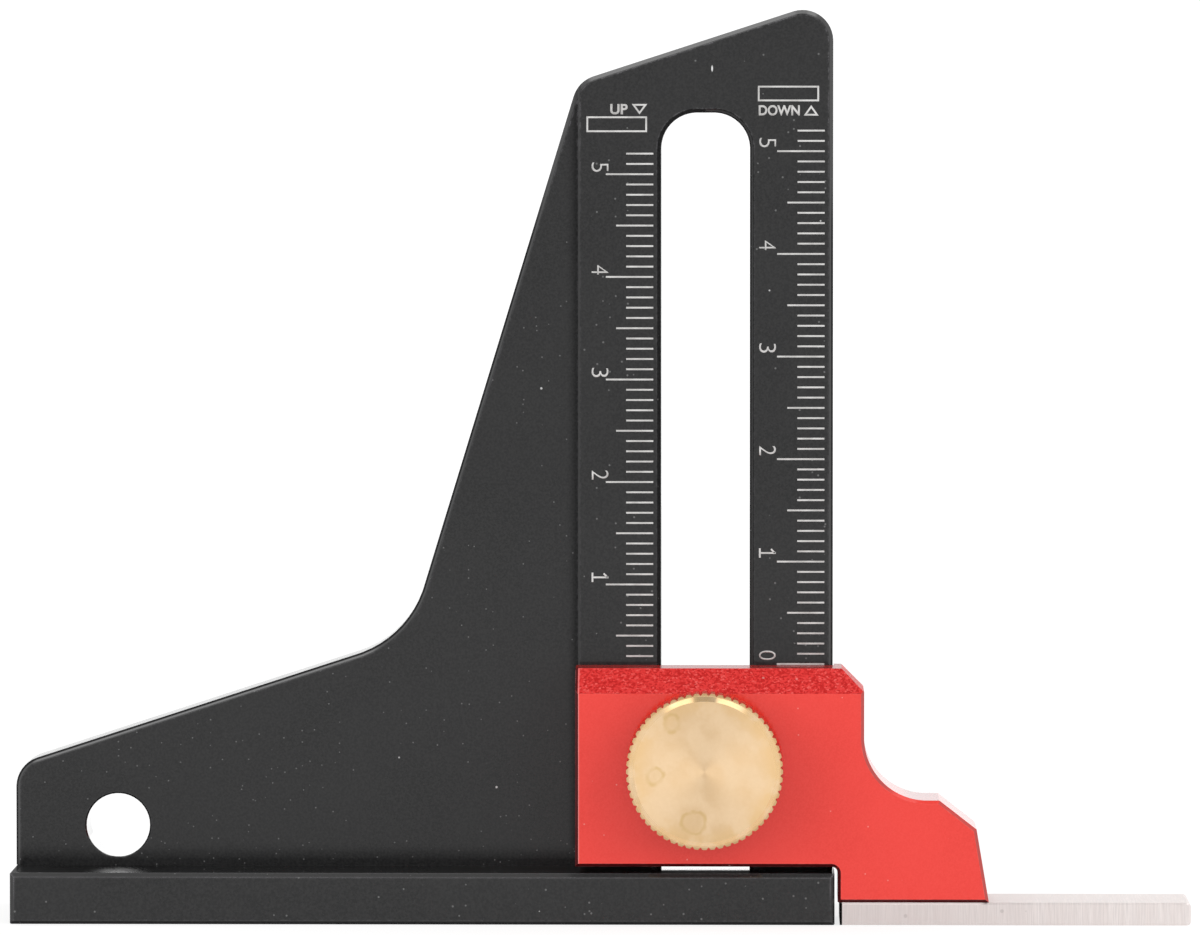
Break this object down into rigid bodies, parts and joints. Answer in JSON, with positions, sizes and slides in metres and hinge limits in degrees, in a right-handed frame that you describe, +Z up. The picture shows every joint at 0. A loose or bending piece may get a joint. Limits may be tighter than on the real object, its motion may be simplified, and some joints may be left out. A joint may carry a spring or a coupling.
{
  "type": "table saw height gauge",
  "caption": "Slotted upright with a sloping gusset on a bar foot; a knob clamps a sliding block whose flat steel tongue reads blade height against a millimetre scale.",
  "frame": {"origin": "centre of the foot's underside, on the table", "axes": "+X along the foot towards the tongue, -Y towards the reader, +Z up"},
  "size_m": [0.1145, 0.0302, 0.0886],
  "materials": {
    "black_anodised": "fine blasted and black anodised",
    "red_anodised": "fine blasted and red anodised",
    "stainless": "brushed",
    "screw_steel": "plain steel",
    "brass": "turned and knurled, lightly tarnished"
  },
  "bodies": {
    "frame": {"upright": "black_anodised", "foot": "black_anodised", "foot_screws": "screw_steel"},
    "slider": {"slider": "red_anodised", "tongue": "stainless", "tongue_screws": "screw_steel", "knob_washer": "stainless"},
    "knob": {"knob": "brass", "clamp_stud": "screw_steel"},
    "clamp_plate": {"clamp_plate": "black_anodised"}
  },
  "joints": [
    {"name": "slider_slide", "type": "slide", "parent": "frame", "child": "slider", "axis": [0, 0, 1], "range_m": [0, 0.052]},
    {"name": "knob_turn", "type": "hinge", "parent": "slider", "child": "knob", "pos_m": [0.02743, -0.0155, 0.01535], "axis": [0, -1, 0], "range_deg": [0, 360]},
    {"name": "clamp_release", "type": "slide", "parent": "slider", "child": "clamp_plate", "axis": [0, 1, 0], "range_m": [0, 0.0008]}
  ],
  "couplings": [
    {"joint": "clamp_release", "follows": "knob_turn", "m_per_rad": 0.0001273}
  ]
}
